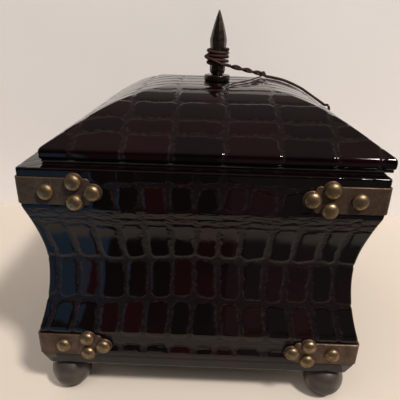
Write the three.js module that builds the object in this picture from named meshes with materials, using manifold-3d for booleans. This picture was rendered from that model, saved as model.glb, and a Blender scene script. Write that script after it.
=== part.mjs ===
// Trinket box: waisted square body on ball feet, nailed corner straps, lift-off pyramid lid, corded finial.
// Millimetres, +Z up. The origin is the centre of the body's footprint, on the surface that the feet stand on.
// The front faces -Y. The lid lifts straight up.
import * as THREE from 'three';
import { mergeVertices } from 'three/addons/utils/BufferGeometryUtils.js';
import Module from 'manifold-3d';

const wasm = await Module();
wasm.setup();

// Body
const RIM_WIDTH = 230;
const BASE_SPREAD = 1; // how far the base stands out past the rim
const RIM_WALL = 16; // rim's face to the opening
const BODY_HEIGHT = 157.8;
const RIM_BAND = 26.4;
const BASE_BAND = 22.5;
const BEVEL_DROP = 11;
const BEVEL_INSET = 3.5;
const WAIST_DEPTH = 8.7;
const WAIST_SHARE = 0.445; // how far down the waist its narrowest place lies
const WAIST_LEAD = 27.5; // straight lead of the waist's curve at each band
const EDGE_ROUND = 1.6;
const BASE_BOARD = 14.5;

// Coverings, glue lines and clearances
const LEATHER = 1.2;
const GLUE = 0.3;
const LINING = 1;
const FLOOR_LINING = 1.5;
const MITRE_GAP = 0.2;
const FIT_GAP = 0.3;
const UNDER_LAP = 1.5; // leather turned under the base
const OVERRUN = 2; // how far a cutter passes the face that it cuts

// Ball feet and their dowel screws
const FOOT_DIAMETER = 30.6;
const FOOT_FLAT = 0.5;
const FOOT_RISE = 1.1; // how far the ball reaches up past the leather's underside
const FOOT_NECK = 10;
const FOOT_INSET = 15.5; // base's face to the foot's axis
const DOWEL = 4.8;
const DOWEL_POINT = 3;
const DOWEL_IN_FOOT = 15;
const DOWEL_IN_BASE = 9;

// Corner straps and dome nails, with distances along a face from its corner
const STRAP_WIDTH = 18;
const STRAP_THICKNESS = 1.2;
const STRAP_REACH = 38; // corner to the end of the straight band
const STRAP_DROP = 14.6; // rim top to the upper straps' middle
const LOBE_RADIUS = 6.4;
const SMALL_LOBE_RADIUS = 3.2;
const SMALL_LOBE_STEP = 6.9; // past the side nails
const SMALL_LOBE_RISE = 6.2;
const NAIL_DIAMETER = 10.8;
const NAIL_HEIGHT = 4;
const NAIL_SINK = 0.2;
const BAND_NAIL = 18;
const SIDE_NAIL_STEP = 2.5; // short of the straight band's end
const SIDE_NAIL_RISE = 6.7;
const TIP_NAIL_STEP = 11.5; // past the side nails

// Lid
const LID_INSET = 2.7; // the lid is this much less than the rim on each side
const LID_SHIFT_RIGHT = 8.4; // the lid sits off centre, within the play of its lips
const LID_SHIFT_BACK = 7.3;
const LID_LIFT = 2; // rim top to the lid's lower edge
const LID_EDGE = 7;
const LID_RISE = 38.2; // lower edge to the flat crown
const CROWN_SHARE = 0.285; // half-widths at which the lid's bend begins, aims and ends, as shares of the lid's
const BEND_AIM_SHARE = 0.5574;
const BEND_END_SHARE = 0.837;
const LID_PANEL = 9;
const LID_RAIL = 30.8;
const COLLAR_CUTOUT = 5;
const CROWN_BLOCK = 32;
const CROWN_BLOCK_DEPTH = 12;
const LIP_DROP = 10.8; // rim top to the lips' lower edge
const LIP_THICKNESS = 5;
const LIP_PLAY = 1.3;
const LIP_MARGIN = 2.7; // lips to the lap and the felt
const LID_LINING = 2.5;
const FELT_INSET = 1.3;

// Finial and its fastening
const COLLAR_DIAMETER = 21.4;
const COLLAR_HEIGHT = 4.8;
const COLLAR_ROUND = 0.9;
const SPIKE_HEIGHT = 49.5;
const SPIKE_LOWER = 12.9;
const SPIKE_WIDEST = 13.9;
const SPIKE_SEAT = 9;
const SPIKE_ROUND = 2.4;
const SPIKE_STRAIGHT = 21;
const SPIKE_SWELL = 6; // from the straight part up to the widest place
const SPIKE_POINT = 1;
const SPIKE_TIP_ROUND = 0.5;
const STUD = 4;
const STUD_IN_SPIKE = 10;
const STUD_PAST_NUT = 1.5;
const WASHER_DIAMETER = 12;
const WASHER_THICKNESS = 1;
const NUT_FLATS = 7;
const NUT_HEIGHT = 3.2;

// Cord
const CORD = 2.4;
const TWISTED_PAIR = 4.2;
const TAIL_CORD = 1.2;
const WRAP_TURNS = 4;
const WRAP_PITCH = 3;
const WRAP_GAP = 0.35;
const WRAP_BOTTOM = 8.5; // spike's seat to the lowest turn
const WRAP_LEAD = 8.1; // straight end of the winding
const KNOT = [7.4, 5.6, 5]; // sizes along X, Y and Z
const KNOT_PLACE = [42, 35, 43]; // from the lid's axis and the rim's top, as are the routes below
const END_KNOT = [5, 5, 6.4];
const RUN_ROUTE = [
  [46.2, 37.4, 40.8],
  [51, 39, 40],
  [57, 43, 38.6],
  [63, 47, 37],
  [69, 51, 34.9],
  [75, 56, 32.4],
  [81, 61, 29.6],
  [87, 66, 26.6],
  [93, 70, 23],
  [99, 72, 19.3],
  [104, 70, 16.2],
  [108, 66, 13.7],
  [110.6, 62.9, 12.1],
  [113.2, 61, 12.2],
  [114.7, 60.2, 9.2],
  [114.8, 59.7, 4],
  [114.6, 59.4, -4],
  [114.5, 59.2, -13],
  [114.5, 59.2, -22],
  [114.5, 59.2, -31],
  [114.5, 59.2, -38],
];
const TAIL_ROUTE = [
  [39.6, 31.2, 40.9],
  [37, 25, 41],
  [34, 15, 41.1],
  [30, 5, 41.2],
  [26, -3.5, 41.2],
  [21, -11.5, 41.2],
  [16.5, -19, 41.2],
  [12.5, -26.5, 41.2],
  [9.4, -34, 41.1],
  [7.4, -41, 40.7],
];

// Places worked out from the sizes above
const RIM_HALF = RIM_WIDTH / 2;
const BASE_HALF = RIM_HALF + BASE_SPREAD;
const OPENING_HALF = RIM_HALF - RIM_WALL;
const LID_HALF = RIM_HALF - LID_INSET;
const BASE_CLEARANCE = FOOT_DIAMETER - FOOT_FLAT - FOOT_RISE;
const SKIN = LEATHER + GLUE;
const FOOT_HEIGHT = BASE_CLEARANCE + SKIN;
const BASE_TOP = FOOT_HEIGHT + BASE_BOARD;
const RIM_TOP = BASE_CLEARANCE + BODY_HEIGHT;
const WALL_INNER = OPENING_HALF + LINING + GLUE;
const LAP_EDGE = BASE_HALF - BEVEL_INSET - UNDER_LAP;
const FOOT_PLACE = BASE_HALF - FOOT_INSET;
const SIDE_NAIL = STRAP_REACH - SIDE_NAIL_STEP;
const TIP_NAIL = SIDE_NAIL + TIP_NAIL_STEP;
const BAND_BOTTOM = BASE_CLEARANCE + BEVEL_DROP;
const LOWER_STRAP = BAND_BOTTOM + BASE_BAND / 2;
const LID_BOTTOM = RIM_TOP + LID_LIFT;
const LID_TOP = LID_BOTTOM + LID_RISE;
const LID_WOOD_BOTTOM = LID_BOTTOM + SKIN;
const LID_WOOD_TOP = LID_TOP - SKIN;
const LIP_OUTER = OPENING_HALF - Math.max(LID_SHIFT_RIGHT, LID_SHIFT_BACK) - LIP_PLAY;
const LIP_INNER = LIP_OUTER - LIP_THICKNESS;
const LID_LAP_EDGE = LIP_OUTER + LIP_MARGIN;
const BLOCK_BOTTOM = LID_WOOD_TOP - CROWN_BLOCK_DEPTH;
const SPIKE_BOTTOM = LID_TOP + COLLAR_HEIGHT;
const STUD_BORE = STUD / 2 + FIT_GAP;
const DOWEL_BORE = DOWEL / 2 + FIT_GAP;
const CORNER_TURN = Math.PI / 2;

// Materials
const leather = new THREE.MeshStandardMaterial({ color: 0x241012, roughness: 0.25, metalness: 0 });
const wood = new THREE.MeshStandardMaterial({ color: 0x8a6a45, roughness: 0.8, metalness: 0 });
const velvet = new THREE.MeshStandardMaterial({ color: 0x3a1418, roughness: 0.95, metalness: 0 });
const felt = new THREE.MeshStandardMaterial({ color: 0x171414, roughness: 1, metalness: 0 });
const strapBrass = new THREE.MeshStandardMaterial({ color: 0x6e5540, roughness: 0.45, metalness: 0.8 });
const footBronze = new THREE.MeshStandardMaterial({ color: 0x4a4238, roughness: 0.35, metalness: 0.7 });
const finialBronze = new THREE.MeshStandardMaterial({ color: 0x3d3a30, roughness: 0.4, metalness: 0.8 });
const steel = new THREE.MeshStandardMaterial({ color: 0x9a9a98, roughness: 0.4, metalness: 1 });
const cord = new THREE.MeshStandardMaterial({ color: 0x33201c, roughness: 0.8, metalness: 0 });

const point = (out, height) => new THREE.Vector2(out, height);

// A three.js geometry as a solid that can be cut and joined
function toSolid(geometry) {
  const bare = new THREE.BufferGeometry();
  bare.setAttribute('position', geometry.getAttribute('position'));
  bare.setIndex(geometry.getIndex());
  const merged = mergeVertices(bare);
  const corners = merged.getIndex().array;
  const triangles = [];
  for (let i = 0; i < corners.length; i += 3) {
    const [a, b, c] = corners.slice(i, i + 3);
    if (a !== b && b !== c && c !== a) triangles.push(a, b, c);
  }
  const vertProperties = merged.getAttribute('position').array;
  return new wasm.Manifold(new wasm.Mesh({ numProp: 3, vertProperties, triVerts: new Uint32Array(triangles) }));
}

function toGeometry(solid) {
  const mesh = solid.getMesh();
  const geometry = new THREE.BufferGeometry();
  geometry.setAttribute('position', new THREE.BufferAttribute(mesh.vertProperties, 3));
  geometry.setIndex(new THREE.BufferAttribute(mesh.triVerts, 1));
  geometry.computeVertexNormals();
  return geometry;
}

function join(geometries) {
  return toGeometry(geometries.map(toSolid).reduce((whole, solid) => whole.add(solid)));
}

function cut(geometry, cutters) {
  return toGeometry(cutters.map(toSolid).reduce((rest, cutter) => rest.subtract(cutter), toSolid(geometry)));
}

// A turned piece: the profile runs from its lowest point on the axis to its highest
function turned(profile, sides) {
  return new THREE.LatheGeometry(profile, sides).rotateX(Math.PI / 2);
}

// A square block whose half-width follows the profile
function squareBlock(profile) {
  const corners = profile.map(({ x, y }) => point(x * Math.SQRT2, y));
  return new THREE.LatheGeometry(corners, 4, Math.PI / 4).rotateX(Math.PI / 2);
}

function slab(half, bottom, top) {
  return squareBlock([point(0, bottom), point(half, bottom), point(half, top), point(0, top)]);
}

function rod(radius, bottom, top, sides) {
  return turned([point(0, bottom), point(radius, bottom), point(radius, top), point(0, top)], sides);
}

// One side of a square frame, at the front: a section of distances from the axis and heights, mitred at both ends
function mitredSide(section) {
  const side = new THREE.ExtrudeGeometry(new THREE.Shape(section), { depth: 1, bevelEnabled: false });
  const places = side.getAttribute('position');
  for (let i = 0; i < places.count; i += 1) {
    const out = places.getX(i);
    const end = 1 - 2 * places.getZ(i);
    places.setXYZ(i, end * (out - MITRE_GAP), -out, places.getY(i));
  }
  side.computeVertexNormals();
  return side;
}

// The path moved to its right by a distance, with its corners mitred
function offsetPath(path, distance) {
  const sides = path.slice(1).map((end, i) => end.clone().sub(path[i]).normalize());
  return path.map((place, i) => {
    const before = sides[Math.max(i - 1, 0)];
    const after = sides[Math.min(i, sides.length - 1)];
    const reach = distance / (1 + before.dot(after));
    const shift = point(before.y + after.y, -before.x - after.x).multiplyScalar(reach);
    return place.clone().add(shift);
  });
}

const skinSection = (path, thickness) => [...path, ...offsetPath(path, thickness).reverse()];

const rectangle = (inner, outer, bottom, top) => [
  point(inner, bottom),
  point(outer, bottom),
  point(outer, top),
  point(inner, top),
];

function heightAt(path, out) {
  const i = path.findIndex((place, n) => n > 0 && place.x >= out);
  const share = (out - path[i - 1].x) / (path[i].x - path[i - 1].x);
  return path[i - 1].y + share * (path[i].y - path[i - 1].y);
}

// A tube along a smooth curve through the points, with its ends closed
function tube(points, diameter, sides, steps) {
  const ring = [];
  for (let i = 0; i < sides; i += 1) {
    const angle = (i / sides) * 2 * Math.PI;
    ring.push(point(Math.cos(angle), Math.sin(angle)).multiplyScalar(diameter / 2));
  }
  const extrudePath = new THREE.CatmullRomCurve3(points, false, 'centripetal');
  extrudePath.arcLengthDivisions = steps * 8;
  return new THREE.ExtrudeGeometry(new THREE.Shape(ring), { steps, extrudePath });
}

const model = new THREE.Group();
const lid = new THREE.Group();
lid.position.set(LID_SHIFT_RIGHT, LID_SHIFT_BACK, 0);
model.add(lid);

function addPiece(group, name, geometry, material) {
  const piece = new THREE.Mesh(geometry, material);
  piece.name = name;
  group.add(piece);
  return piece;
}

// The same piece at each quarter turn about the group's axis
function addQuarters(group, names, geometry, material) {
  names.forEach((name, i) => {
    addPiece(group, name, geometry, material).rotation.z = i * CORNER_TURN;
  });
}

const sideNames = (piece) => ['front', 'right', 'back', 'left'].map((side) => `${side}_${piece}`);
const cornerNames = (piece) =>
  ['front_left', 'front_right', 'back_right', 'back_left'].map((corner) => `${corner}_${piece}`);

// Outer face of the body's leather, from the inside of the rim, over it and down to the lap under the base
function bodyPath() {
  const waistTop = RIM_TOP - RIM_BAND;
  const waistBottom = BAND_BOTTOM + BASE_BAND;
  const narrowest = RIM_HALF - WAIST_DEPTH;
  const narrowestHeight = waistTop + WAIST_SHARE * (waistBottom - waistTop);
  const upper = new THREE.QuadraticBezierCurve(
    point(RIM_HALF, waistTop),
    point(narrowest, waistTop - WAIST_LEAD),
    point(narrowest, narrowestHeight),
  );
  const lower = new THREE.QuadraticBezierCurve(
    point(narrowest, narrowestHeight),
    point(narrowest, waistBottom + WAIST_LEAD),
    point(BASE_HALF, waistBottom),
  );
  return [
    point(WALL_INNER, RIM_TOP),
    point(RIM_HALF - EDGE_ROUND, RIM_TOP),
    point(RIM_HALF, RIM_TOP - EDGE_ROUND),
    ...upper.getPoints(6),
    ...lower.getPoints(6).slice(1),
    point(BASE_HALF, BAND_BOTTOM),
    point(BASE_HALF - BEVEL_INSET, BASE_CLEARANCE),
    point(LAP_EDGE, BASE_CLEARANCE),
  ];
}

function makeBody() {
  const skin = bodyPath();
  const board = offsetPath(skin, SKIN);
  const [bevelTop, bevelBottom] = board.slice(-3);
  const bores = [];
  for (const right of [-1, 1]) {
    for (const back of [-1, 1]) {
      const bore = rod(DOWEL_BORE, FOOT_HEIGHT - OVERRUN, FOOT_HEIGHT + DOWEL_IN_BASE + FIT_GAP, 12);
      bores.push(bore.translate(right * FOOT_PLACE, back * FOOT_PLACE, 0));
    }
  }
  const baseBoard = squareBlock([
    point(0, bevelBottom.y),
    bevelBottom,
    bevelTop,
    point(bevelTop.x, BASE_TOP),
    point(0, BASE_TOP),
  ]);
  addPiece(model, 'base_board', cut(baseBoard, bores), wood);

  const wallSection = [
    ...board.filter(({ y }) => y > BASE_TOP),
    point(bevelTop.x, BASE_TOP),
    point(WALL_INNER, BASE_TOP),
  ];
  addQuarters(model, sideNames('wall'), mitredSide(wallSection), wood);
  addQuarters(model, sideNames('leather'), mitredSide(skinSection(skin, LEATHER)), leather);

  const liningBottom = BASE_TOP + GLUE;
  const lining = rectangle(OPENING_HALF, OPENING_HALF + LINING, liningBottom, RIM_TOP - FIT_GAP);
  addQuarters(model, sideNames('lining'), mitredSide(lining), velvet);
  const floor = slab(OPENING_HALF - FIT_GAP, liningBottom, liningBottom + FLOOR_LINING);
  addPiece(model, 'floor_lining', floor, velvet);
}

function makeFeet() {
  const radius = FOOT_DIAMETER / 2;
  const middle = radius - FOOT_FLAT;
  const lowest = -Math.asin(middle / radius);
  const highest = Math.acos(FOOT_NECK / FOOT_DIAMETER);
  const steps = 9;
  const profile = [point(0, 0)];
  for (let i = 0; i <= steps; i += 1) {
    const angle = lowest + (i / steps) * (highest - lowest);
    profile.push(point(radius * Math.cos(angle), middle + radius * Math.sin(angle)));
  }
  profile.push(point(FOOT_NECK / 2, FOOT_HEIGHT), point(0, FOOT_HEIGHT));
  const boreBottom = FOOT_HEIGHT - DOWEL_IN_FOOT - FIT_GAP;
  const ball = cut(turned(profile, 18), [rod(DOWEL_BORE, boreBottom, FOOT_HEIGHT + OVERRUN, 12)]);
  ball.translate(-FOOT_PLACE, -FOOT_PLACE, 0);
  addQuarters(model, cornerNames('ball_foot'), ball, footBronze);

  const dowelBottom = FOOT_HEIGHT - DOWEL_IN_FOOT;
  const dowelTop = FOOT_HEIGHT + DOWEL_IN_BASE;
  const dowelProfile = [
    point(0, dowelBottom),
    point(DOWEL / 2, dowelBottom + DOWEL_POINT),
    point(DOWEL / 2, dowelTop - DOWEL_POINT),
    point(0, dowelTop),
  ];
  const dowel = turned(dowelProfile, 10).translate(-FOOT_PLACE, -FOOT_PLACE, 0);
  addQuarters(model, cornerNames('foot_screw'), dowel, steel);
}

// A dome nail head on the strap, pointing out of the front
function nailHead(along, rise) {
  const profile = [point(0, -NAIL_SINK), point(NAIL_DIAMETER / 2, -NAIL_SINK)];
  const steps = 3;
  for (let i = 0; i < steps; i += 1) {
    const angle = (i / steps) * CORNER_TURN;
    profile.push(point((NAIL_DIAMETER / 2) * Math.cos(angle), NAIL_HEIGHT * Math.sin(angle)));
  }
  profile.push(point(0, NAIL_HEIGHT));
  const head = new THREE.LatheGeometry(profile, 10).rotateX(Math.PI);
  return head.translate(along, -STRAP_THICKNESS, rise);
}

// One leg of a strap, along the front from the corner at the origin, with its nails
function strapLeg() {
  const length = STRAP_REACH + STRAP_THICKNESS;
  const band = new THREE.BoxGeometry(length, STRAP_THICKNESS, STRAP_WIDTH);
  band.translate(STRAP_REACH - length / 2, -STRAP_THICKNESS / 2, 0);
  const lobe = (radius, along, rise, sides) =>
    new THREE.CylinderGeometry(radius, radius, STRAP_THICKNESS, sides).translate(along, -STRAP_THICKNESS / 2, rise);
  const pieces = [band, lobe(LOBE_RADIUS, TIP_NAIL, 0, 14), nailHead(BAND_NAIL, 0), nailHead(TIP_NAIL, 0)];
  for (const side of [-1, 1]) {
    pieces.push(lobe(LOBE_RADIUS, SIDE_NAIL, side * SIDE_NAIL_RISE, 14));
    pieces.push(lobe(SMALL_LOBE_RADIUS, SIDE_NAIL + SMALL_LOBE_STEP, side * SMALL_LOBE_RISE, 8));
    pieces.push(nailHead(SIDE_NAIL, side * SIDE_NAIL_RISE));
  }
  return join(pieces);
}

function makeStraps() {
  const frontLeg = strapLeg();
  const diagonal = new THREE.Vector3(1, 1, 0).normalize();
  const sideLeg = frontLeg.clone().applyMatrix4(new THREE.Matrix4().makeRotationAxis(diagonal, Math.PI));
  const strap = join([frontLeg, sideLeg]);
  const upper = strap.clone().translate(-RIM_HALF, -RIM_HALF, RIM_TOP - STRAP_DROP);
  const lower = strap.clone().translate(-BASE_HALF, -BASE_HALF, LOWER_STRAP);
  addQuarters(model, cornerNames('upper_strap'), upper, strapBrass);
  addQuarters(model, cornerNames('lower_strap'), lower, strapBrass);
}

// Outer face of the lid's leather, from the hole under the finial, down the slope and round the edge to its lap
function lidPath() {
  const edgeTop = LID_BOTTOM + LID_EDGE;
  const fallShare = (BEND_END_SHARE - BEND_AIM_SHARE) / (1 - BEND_AIM_SHARE);
  const bend = new THREE.QuadraticBezierCurve(
    point(CROWN_SHARE * LID_HALF, LID_TOP),
    point(BEND_AIM_SHARE * LID_HALF, LID_TOP),
    point(BEND_END_SHARE * LID_HALF, LID_TOP + fallShare * (edgeTop - LID_TOP)),
  );
  return [
    point(COLLAR_CUTOUT, LID_TOP),
    ...bend.getPoints(8),
    point(LID_HALF, edgeTop),
    point(LID_HALF, LID_BOTTOM + EDGE_ROUND),
    point(LID_HALF - EDGE_ROUND, LID_BOTTOM),
    point(LID_LAP_EDGE, LID_BOTTOM),
  ];
}

function makeLid() {
  const skin = lidPath();
  const outer = offsetPath(skin, SKIN).slice(1, -1);
  const inner = offsetPath(skin, SKIN + LID_PANEL);
  const blockHalf = CROWN_BLOCK / 2;
  const railInner = LID_HALF - SKIN - LID_RAIL;
  const panelSection = [
    point(blockHalf, LID_WOOD_TOP),
    ...outer,
    point(railInner, LID_WOOD_BOTTOM),
    point(railInner, heightAt(inner, railInner)),
    ...inner.filter(({ x, y }) => x > blockHalf && x < railInner && y > LID_WOOD_BOTTOM + LID_PANEL).reverse(),
    point(blockHalf, LID_WOOD_TOP - LID_PANEL),
  ];
  addQuarters(lid, sideNames('lid_panel'), mitredSide(panelSection), wood);
  addQuarters(lid, sideNames('lid_leather'), mitredSide(skinSection(skin, LEATHER)), leather);

  const block = slab(blockHalf - FIT_GAP, BLOCK_BOTTOM, LID_WOOD_TOP);
  const blockBore = rod(STUD_BORE, BLOCK_BOTTOM - OVERRUN, LID_WOOD_TOP + OVERRUN, 12);
  addPiece(lid, 'crown_block', cut(block, [blockBore]), wood);

  const lip = rectangle(LIP_INNER, LIP_OUTER, RIM_TOP - LIP_DROP, LID_WOOD_BOTTOM);
  addQuarters(lid, sideNames('lid_lip'), mitredSide(lip), velvet);
  const lining = slab(LIP_INNER - FIT_GAP, LID_WOOD_BOTTOM - LID_LINING, LID_WOOD_BOTTOM);
  addPiece(lid, 'lid_lining', lining, velvet);
  const strip = rectangle(LID_LAP_EDGE, LID_HALF - FELT_INSET, RIM_TOP + FIT_GAP, LID_BOTTOM);
  addQuarters(lid, sideNames('lid_felt'), mitredSide(strip), felt);
}

function ring(hole, radius, bottom, top, round, sides) {
  return turned(
    [
      point(hole, bottom),
      point(radius - round, bottom),
      point(radius, bottom + round),
      point(radius, top - round),
      point(radius - round, top),
      point(hole, top),
      point(hole, bottom),
    ],
    sides,
  );
}

function makeFinial() {
  const collar = ring(STUD_BORE, COLLAR_DIAMETER / 2, LID_TOP, SPIKE_BOTTOM, COLLAR_ROUND, 24);
  addPiece(lid, 'finial_collar', collar, finialBronze);

  const lower = SPIKE_LOWER / 2;
  const seat = SPIKE_SEAT / 2;
  const profile = [point(0, SPIKE_BOTTOM)];
  const steps = 3;
  for (let i = 0; i <= steps; i += 1) {
    const angle = (i / steps) * CORNER_TURN;
    const out = seat + (lower - seat) * Math.sin(angle);
    profile.push(point(out, SPIKE_BOTTOM + SPIKE_ROUND * (1 - Math.cos(angle))));
  }
  profile.push(
    point(lower, SPIKE_BOTTOM + SPIKE_STRAIGHT),
    point(SPIKE_WIDEST / 2, SPIKE_BOTTOM + SPIKE_STRAIGHT + SPIKE_SWELL),
    point(SPIKE_POINT / 2, SPIKE_BOTTOM + SPIKE_HEIGHT - SPIKE_TIP_ROUND),
    point(0, SPIKE_BOTTOM + SPIKE_HEIGHT),
  );
  const boreTop = SPIKE_BOTTOM + STUD_IN_SPIKE + FIT_GAP;
  const spike = cut(turned(profile, 8), [rod(STUD_BORE, SPIKE_BOTTOM - OVERRUN, boreTop, 12)]);
  addPiece(lid, 'finial_spike', spike, finialBronze);

  const washerBottom = BLOCK_BOTTOM - WASHER_THICKNESS;
  const nutBottom = washerBottom - NUT_HEIGHT;
  const washer = ring(STUD_BORE, WASHER_DIAMETER / 2, washerBottom, BLOCK_BOTTOM, WASHER_THICKNESS / 8, 20);
  addPiece(lid, 'finial_washer', washer, steel);
  const nut = rod(NUT_FLATS / Math.sqrt(3), nutBottom, washerBottom, 6);
  const nutBore = rod(STUD_BORE, nutBottom - OVERRUN, washerBottom + OVERRUN, 12);
  addPiece(lid, 'finial_nut', cut(nut, [nutBore]), steel);
  const stud = rod(STUD / 2, nutBottom - STUD_PAST_NUT, SPIKE_BOTTOM + STUD_IN_SPIKE, 12);
  addPiece(lid, 'finial_stud', stud, steel);
}

const place = ([across, back, up]) => new THREE.Vector3(across, back, RIM_TOP + up);

function knot(sizes, centre) {
  const [wide, deep, high] = sizes;
  const body = new THREE.SphereGeometry(1, 12, 8).rotateX(Math.PI / 2);
  return body.scale(wide / 2, deep / 2, high / 2).translate(centre.x, centre.y, centre.z);
}

// Least distance between any two places of the path that lie more than half a turn apart, less the cord itself
function leastGap(points, halfTurn) {
  let least = Infinity;
  points.forEach((a, i) => {
    points.slice(i + halfTurn).forEach((b) => {
      least = Math.min(least, a.distanceTo(b));
    });
  });
  return least - CORD;
}

function makeCord() {
  const knotCentre = place(KNOT_PLACE);
  const radius = SPIKE_LOWER / 2 + WRAP_GAP + CORD / 2;
  const reach = Math.hypot(knotCentre.x, knotCentre.y);
  const exitAngle = Math.atan2(knotCentre.y, knotCentre.x) - Math.acos(radius / reach);
  const stepsPerTurn = 24;
  const steps = WRAP_TURNS * stepsPerTurn;
  const turns = [];
  for (let i = 0; i <= steps; i += 1) {
    const left = steps - i;
    const angle = exitAngle - (left / stepsPerTurn) * 2 * Math.PI;
    const height = SPIKE_BOTTOM + WRAP_BOTTOM + (left / stepsPerTurn) * WRAP_PITCH;
    turns.push(new THREE.Vector3(radius * Math.cos(angle), radius * Math.sin(angle), height));
  }
  const exit = turns.at(-1);
  const towardsKnot = knotCentre.clone().sub(exit).normalize();
  const lead = [1 / 2, 1].map((share) => exit.clone().addScaledVector(towardsKnot, share * WRAP_LEAD));
  const start = turns[0].clone().sub(turns[1]).setLength(CORD).add(turns[0]);
  addPiece(lid, 'cord_winding', tube([start, ...turns, ...lead], CORD, 6, steps + 6), cord);
  console.log(`cord_winding: least gap to itself ${leastGap(turns, stepsPerTurn / 2).toFixed(2)} mm`);

  const pairStart = exit.clone().addScaledVector(towardsKnot, WRAP_LEAD + FIT_GAP);
  const pairEnd = knotCentre.clone().addScaledVector(towardsKnot, -KNOT[0] / 2 - FIT_GAP);
  addPiece(lid, 'cord_twisted_pair', tube([pairStart, pairEnd], TWISTED_PAIR, 8, 4), cord);
  addPiece(lid, 'cord_knot', knot(KNOT, knotCentre), cord);

  const run = RUN_ROUTE.map(place);
  addPiece(lid, 'cord_long_end', tube(run, CORD, 8, 28), cord);
  const endCentre = run.at(-1).clone();
  endCentre.z -= END_KNOT[2] / 2 + FIT_GAP;
  addPiece(lid, 'cord_end_knot', knot(END_KNOT, endCentre), cord);
  addPiece(lid, 'cord_short_end', tube(TAIL_ROUTE.map(place), TAIL_CORD, 8, 28), cord);
}

makeBody();
makeFeet();
makeStraps();
makeLid();
makeFinial();
makeCord();

export default model;
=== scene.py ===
"""Trinket box: a waisted square box on ball feet, in embossed oxblood leather, with nailed corner straps, a lift-off
pyramid lid and a corded finial. +Z is up and the front faces -Y. Sizes are metres, and shapes are worked out in
millimetres."""
import math

import bpy
import numpy as np
from bpy.props import FloatProperty, FloatVectorProperty, PointerProperty
from mathutils import Matrix, Vector


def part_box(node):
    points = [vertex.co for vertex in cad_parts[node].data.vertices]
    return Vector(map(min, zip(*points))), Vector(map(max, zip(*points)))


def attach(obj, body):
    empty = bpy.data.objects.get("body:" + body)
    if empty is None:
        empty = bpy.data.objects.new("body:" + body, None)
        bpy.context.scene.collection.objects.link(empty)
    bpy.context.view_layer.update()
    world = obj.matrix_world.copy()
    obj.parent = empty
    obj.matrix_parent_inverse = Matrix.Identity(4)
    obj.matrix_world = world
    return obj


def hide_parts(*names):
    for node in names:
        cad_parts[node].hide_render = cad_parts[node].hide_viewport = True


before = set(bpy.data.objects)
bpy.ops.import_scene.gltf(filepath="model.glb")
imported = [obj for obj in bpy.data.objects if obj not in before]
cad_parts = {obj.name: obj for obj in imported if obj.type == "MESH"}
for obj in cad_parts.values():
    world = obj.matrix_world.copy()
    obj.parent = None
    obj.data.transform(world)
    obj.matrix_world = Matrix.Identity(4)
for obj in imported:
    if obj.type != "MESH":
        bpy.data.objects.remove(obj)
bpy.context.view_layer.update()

bl_info = {
    "name": "Trinket box",
    "version": (1, 0, 0),
    "blender": (4, 5, 0),
    "location": "3D View > Sidebar > Trinket Box",
    "description": "Builds a leather-covered trinket box round its solids",
    "category": "Add Mesh",
}

MM = 0.001
SIDES = ("front", "right", "back", "left")
CORNERS = ("front_left", "front_right", "back_right", "back_left")
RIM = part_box("front_leather")[1].z / MM
COLLAR_LOW, COLLAR_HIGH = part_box("finial_collar")
LID_AXIS = np.array([*((COLLAR_LOW + COLLAR_HIGH) / 2 / MM).xy, 0.0])
LID_PLACE = LID_AXIS + (0, 0, RIM)


# ---- sizes and colours that a user would change


def number(name, value, unit, description):
    return FloatProperty(name=name, description=description, default=value, unit=unit, min=0.0)


def length(name, millimetres, description):
    return number(name, millimetres * MM, "LENGTH", description)


def colour(name, red, green, blue, description):
    return FloatVectorProperty(
        name=name, description=description, default=(red, green, blue), subtype="COLOR", size=3, min=0.0, max=1.0
    )


class LeatherSizes(bpy.types.PropertyGroup):
    """Covering of the box and lid"""

    groove_depth: length("Groove depth", 0.42, "Depth of the grooves between the embossed cells")
    groove_width: length("Groove width", 1.7, "Half the width of a groove between two cells")
    groove_edge: length("Groove edge", 0.3, "How softly a groove's sides fall to its floor")
    shoulder: length("Shoulder", 0.12, "How far each cell's soft shoulder drops towards its grooves")
    cell_corner: length("Cell corner radius", 6.2, "Rounding of the cells' corners")
    wrinkle_depth: length("Wrinkle depth", 0.08, "Depth of the fine wrinkles below the rim")
    thickness: length("Leather thickness", 1.2, "Thickness of the leather")
    mesh_step: length("Mesh step", 0.72, "Spacing of the leather's mesh")
    cell: colour("Cell colour", 0.0034, 0.0014, 0.0014, "Colour of most of the cells")
    olive: colour("Olive colour", 0.0024, 0.0014, 0.0013, "Colour of the blackest cells")
    wine: colour("Wine colour", 0.0105, 0.0014, 0.0020, "Colour of the reddest cells")
    groove: colour("Groove colour", 0.0085, 0.0048, 0.0048, "Colour in the grooves")
    # colour of the painted highlight: glints along the grooves' edges
    edge: colour("Edge colour", 0.028, 0.017, 0.0165, "Colour of the grooves' worn edges")


class MetalSizes(bpy.types.PropertyGroup):
    """Straps, nails, feet and finial"""

    strap_thickness: length("Strap thickness", 1.2, "Thickness of the folded straps")
    nail_width: length("Nail width", 10.8, "Width of the dome nail heads")
    nail_height: length("Nail height", 4.0, "Height of the dome nail heads")
    strap: colour("Strap colour", 0.15, 0.096, 0.066, "Aged brass of the straps")
    nail: colour("Nail colour", 0.4, 0.278, 0.156, "Antique brass of the nails")
    foot: colour("Foot colour", 0.072, 0.06, 0.05, "Lacquer of the ball feet")
    finial: colour("Finial colour", 0.08, 0.06, 0.048, "Dark bronze of the finial")


class CordSizes(bpy.types.PropertyGroup):
    """Cord round the finial"""

    width: length("Cord width", 2.4, "Thickness of the cord")
    short_width: length("Short end's width", 1.2, "Thickness of the unravelled short end")
    pair_width: length("Pair width", 4.2, "Width of the two ends twisted together")
    lay: length("Lay", 5.5, "Length in which the cord's own strands turn once")
    pair_lay: length("Pair lay", 32.0, "Length in which the two ends turn once round each other")
    # painted shade: the dark colour is laid in the hollows between the cord's strands
    dark: colour("Dark colour", 0.012, 0.005, 0.005, "Colour in the cord's hollows")
    light: colour("Light colour", 0.075, 0.022, 0.019, "Colour of the cord's outer fibres")


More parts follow.
